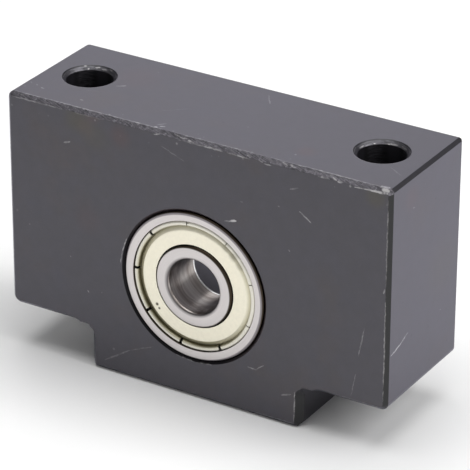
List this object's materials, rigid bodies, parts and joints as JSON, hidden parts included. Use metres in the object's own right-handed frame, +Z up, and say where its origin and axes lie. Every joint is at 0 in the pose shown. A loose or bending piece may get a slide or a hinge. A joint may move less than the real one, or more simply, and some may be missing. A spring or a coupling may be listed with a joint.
{
  "type": "ball screw end support",
  "caption": "Blackened steel block that carries the free end of a ball screw in a shielded deep groove ball bearing, bolted down through its wide face.",
  "frame": {"origin": "middle of the foot print, on the narrow nose's lower face", "axes": "+X along the wide mounting face, +Y along the screw axis from the bearing's face to the rear, +Z up from the nose to the mounting face"},
  "size_m": [0.06, 0.02, 0.039],
  "materials": {
    "blackened_steel": "satin",
    "bearing_steel": "satin",
    "shield_sheet": "satin",
    "cage_sheet": "satin",
    "rivet_steel": "satin",
    "ball_steel": "polished"
  },
  "bodies": {
    "block": {"housing": "blackened_steel", "outer_ring": "bearing_steel", "front_shield": "shield_sheet", "rear_shield": "shield_sheet"},
    "inner_ring": {"inner_ring": "bearing_steel"},
    "cage": {"front_cage_half": "cage_sheet", "rear_cage_half": "cage_sheet", "cage_rivets": "rivet_steel"},
    "ball_1": {"ball_1": "ball_steel"},
    "ball_2": {"ball_2": "ball_steel"},
    "ball_3": {"ball_3": "ball_steel"},
    "ball_4": {"ball_4": "ball_steel"},
    "ball_5": {"ball_5": "ball_steel"},
    "ball_6": {"ball_6": "ball_steel"},
    "ball_7": {"ball_7": "ball_steel"}
  },
  "joints": [
    {"name": "inner_ring_spin", "type": "hinge", "parent": "block", "child": "inner_ring", "pos_m": [0, -0.00645, 0.017], "axis": [0, -1, 0], "continuous": true},
    {"name": "cage_orbit", "type": "hinge", "parent": "block", "child": "cage", "pos_m": [0, -0.00645, 0.017], "axis": [0, -1, 0], "continuous": true},
    {"name": "ball_1_spin", "type": "hinge", "parent": "cage", "child": "ball_1", "pos_m": [0, -0.00645, 0.0245], "axis": [0, -1, 0], "continuous": true},
    {"name": "ball_2_spin", "type": "hinge", "parent": "cage", "child": "ball_2", "pos_m": [-0.00586, -0.00645, 0.02168], "axis": [0, -1, 0], "continuous": true},
    {"name": "ball_3_spin", "type": "hinge", "parent": "cage", "child": "ball_3", "pos_m": [-0.00731, -0.00645, 0.01533], "axis": [0, -1, 0], "continuous": true},
    {"name": "ball_4_spin", "type": "hinge", "parent": "cage", "child": "ball_4", "pos_m": [-0.00325, -0.00645, 0.01024], "axis": [0, -1, 0], "continuous": true},
    {"name": "ball_5_spin", "type": "hinge", "parent": "cage", "child": "ball_5", "pos_m": [0.00325, -0.00645, 0.01024], "axis": [0, -1, 0], "continuous": true},
    {"name": "ball_6_spin", "type": "hinge", "parent": "cage", "child": "ball_6", "pos_m": [0.00731, -0.00645, 0.01533], "axis": [0, -1, 0], "continuous": true},
    {"name": "ball_7_spin", "type": "hinge", "parent": "cage", "child": "ball_7", "pos_m": [0.00586, -0.00645, 0.02168], "axis": [0, -1, 0], "continuous": true}
  ],
  "couplings": [
    {"joint": "cage_orbit", "follows": "inner_ring_spin", "ratio": 0.3677},
    {"joint": "ball_1_spin", "follows": "inner_ring_spin", "ratio": -1.7573},
    {"joint": "ball_2_spin", "follows": "inner_ring_spin", "ratio": -1.7573},
    {"joint": "ball_3_spin", "follows": "inner_ring_spin", "ratio": -1.7573},
    {"joint": "ball_4_spin", "follows": "inner_ring_spin", "ratio": -1.7573},
    {"joint": "ball_5_spin", "follows": "inner_ring_spin", "ratio": -1.7573},
    {"joint": "ball_6_spin", "follows": "inner_ring_spin", "ratio": -1.7573},
    {"joint": "ball_7_spin", "follows": "inner_ring_spin", "ratio": -1.7573}
  ]
}
